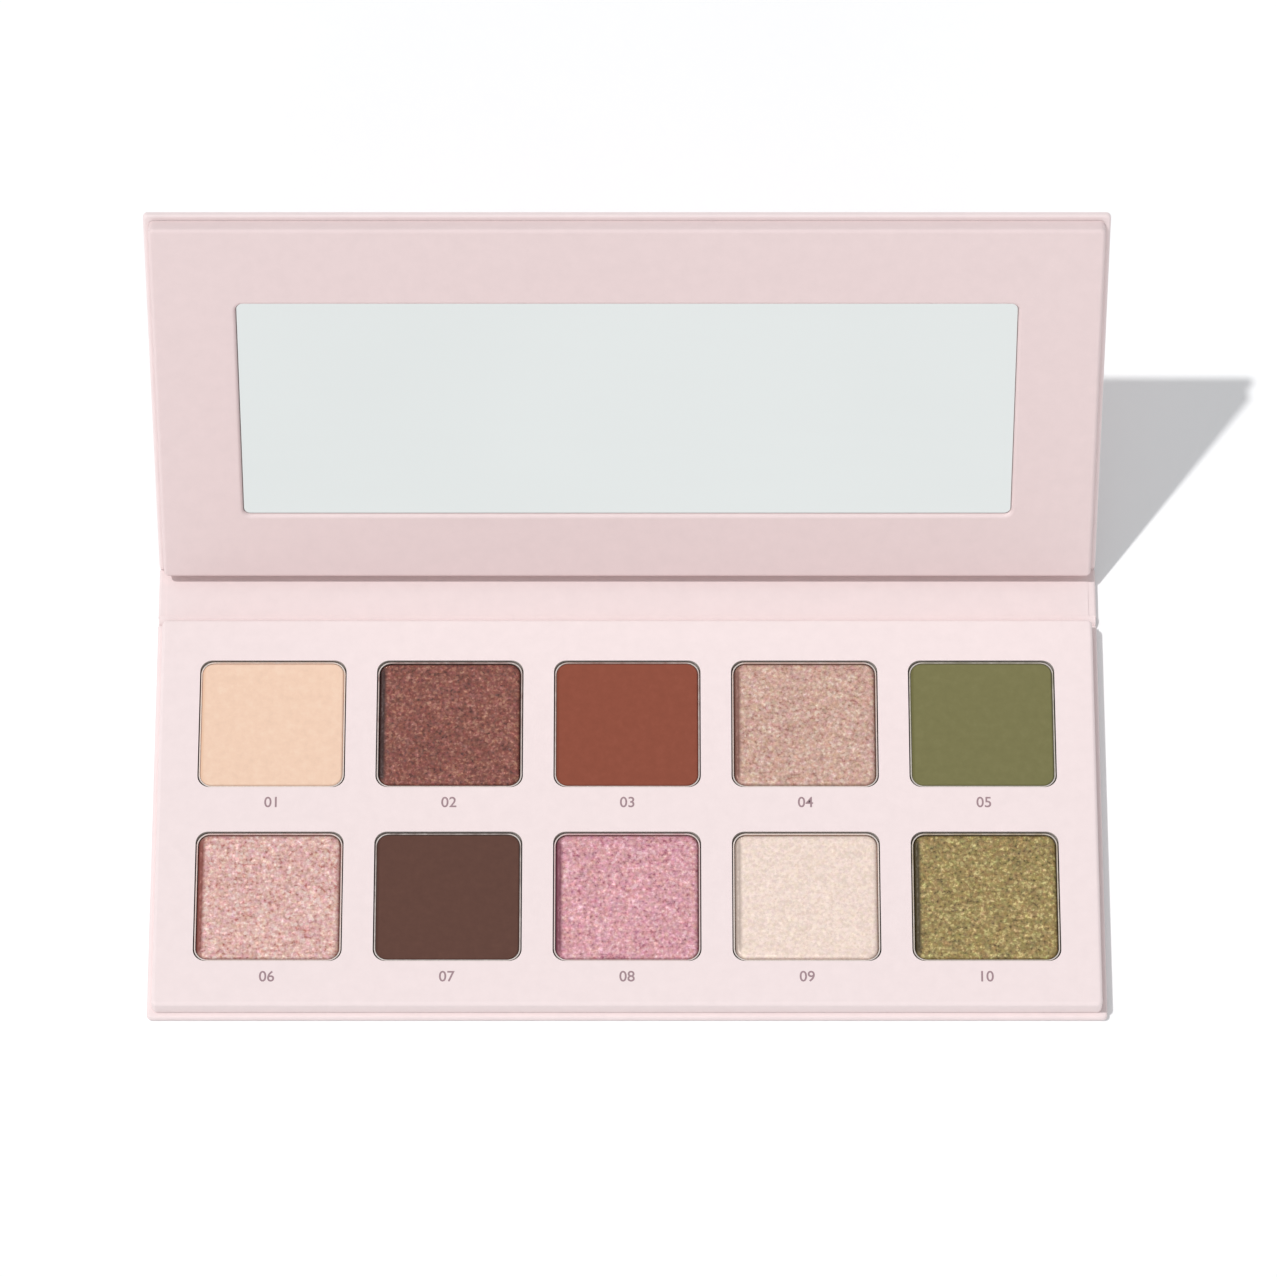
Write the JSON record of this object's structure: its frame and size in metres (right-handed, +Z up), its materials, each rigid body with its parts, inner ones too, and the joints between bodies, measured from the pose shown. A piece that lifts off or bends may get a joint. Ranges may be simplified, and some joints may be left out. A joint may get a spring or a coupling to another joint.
{
  "type": "eyeshadow palette",
  "caption": "Book-style board eyeshadow palette: a windowed tray of pressed powders in pans, a folding spine and a lid with a framed mirror, held shut by magnets.",
  "frame": {"origin": "centre of the base panel's underside, on the table", "axes": "+X along the width, to the user's right; +Y away from the user, towards the hinge; +Z up"},
  "size_m": [0.1586, 0.1177, 0.0639],
  "materials": {
    "grey_board": "raw die-cut edge",
    "cover_paper": "matte laminated",
    "lining_paper": "matte",
    "tray_paper": "matte laminated",
    "nickel_plate": "plated",
    "glue": "set hot-melt",
    "tape": "foam",
    "mirror": "silvered glass",
    "tinplate": "drawn",
    "powder_01": "pressed matte powder",
    "powder_02": "pressed shimmer powder",
    "powder_03": "pressed matte powder",
    "powder_04": "pressed shimmer powder",
    "powder_05": "pressed matte powder",
    "powder_06": "pressed shimmer powder",
    "powder_07": "pressed matte powder",
    "powder_08": "pressed shimmer powder",
    "powder_09": "pressed shimmer powder",
    "powder_10": "pressed shimmer powder"
  },
  "bodies": {
    "base": {"base_board": "grey_board", "base_cover_paper": "cover_paper", "base_lining": "lining_paper", "tray_board": "grey_board", "tray_cover_paper": "tray_paper", "tray_magnets": "nickel_plate", "pan_glue_dots": "glue", "pan_01": "tinplate", "pan_02": "tinplate", "pan_03": "tinplate", "pan_04": "tinplate", "pan_05": "tinplate", "pan_06": "tinplate", "pan_07": "tinplate", "pan_08": "tinplate", "pan_09": "tinplate", "pan_10": "tinplate", "powder_01": "powder_01", "powder_02": "powder_02", "powder_03": "powder_03", "powder_04": "powder_04", "powder_05": "powder_05", "powder_06": "powder_06", "powder_07": "powder_07", "powder_08": "powder_08", "powder_09": "powder_09", "powder_10": "powder_10"},
    "spine": {"spine_board": "grey_board", "spine_cover_paper": "cover_paper", "spine_lining": "lining_paper"},
    "lid": {"lid_board": "grey_board", "lid_cover_paper": "cover_paper", "lid_lining": "lining_paper", "mirror_frame_board": "grey_board", "mirror_frame_paper": "tray_paper", "mirror": "mirror", "mirror_tape": "tape", "lid_magnets": "nickel_plate"}
  },
  "joints": [
    {"name": "spine_hinge", "type": "hinge", "parent": "base", "child": "spine", "pos_m": [0, 0.03617, 0.00015], "axis": [1, 0, 0], "range_deg": [0, 90]},
    {"name": "lid_hinge", "type": "hinge", "parent": "spine", "child": "lid", "pos_m": [0, 0.04533, 0.00015], "axis": [1, 0, 0], "range_deg": [-60, 30]}
  ]
}
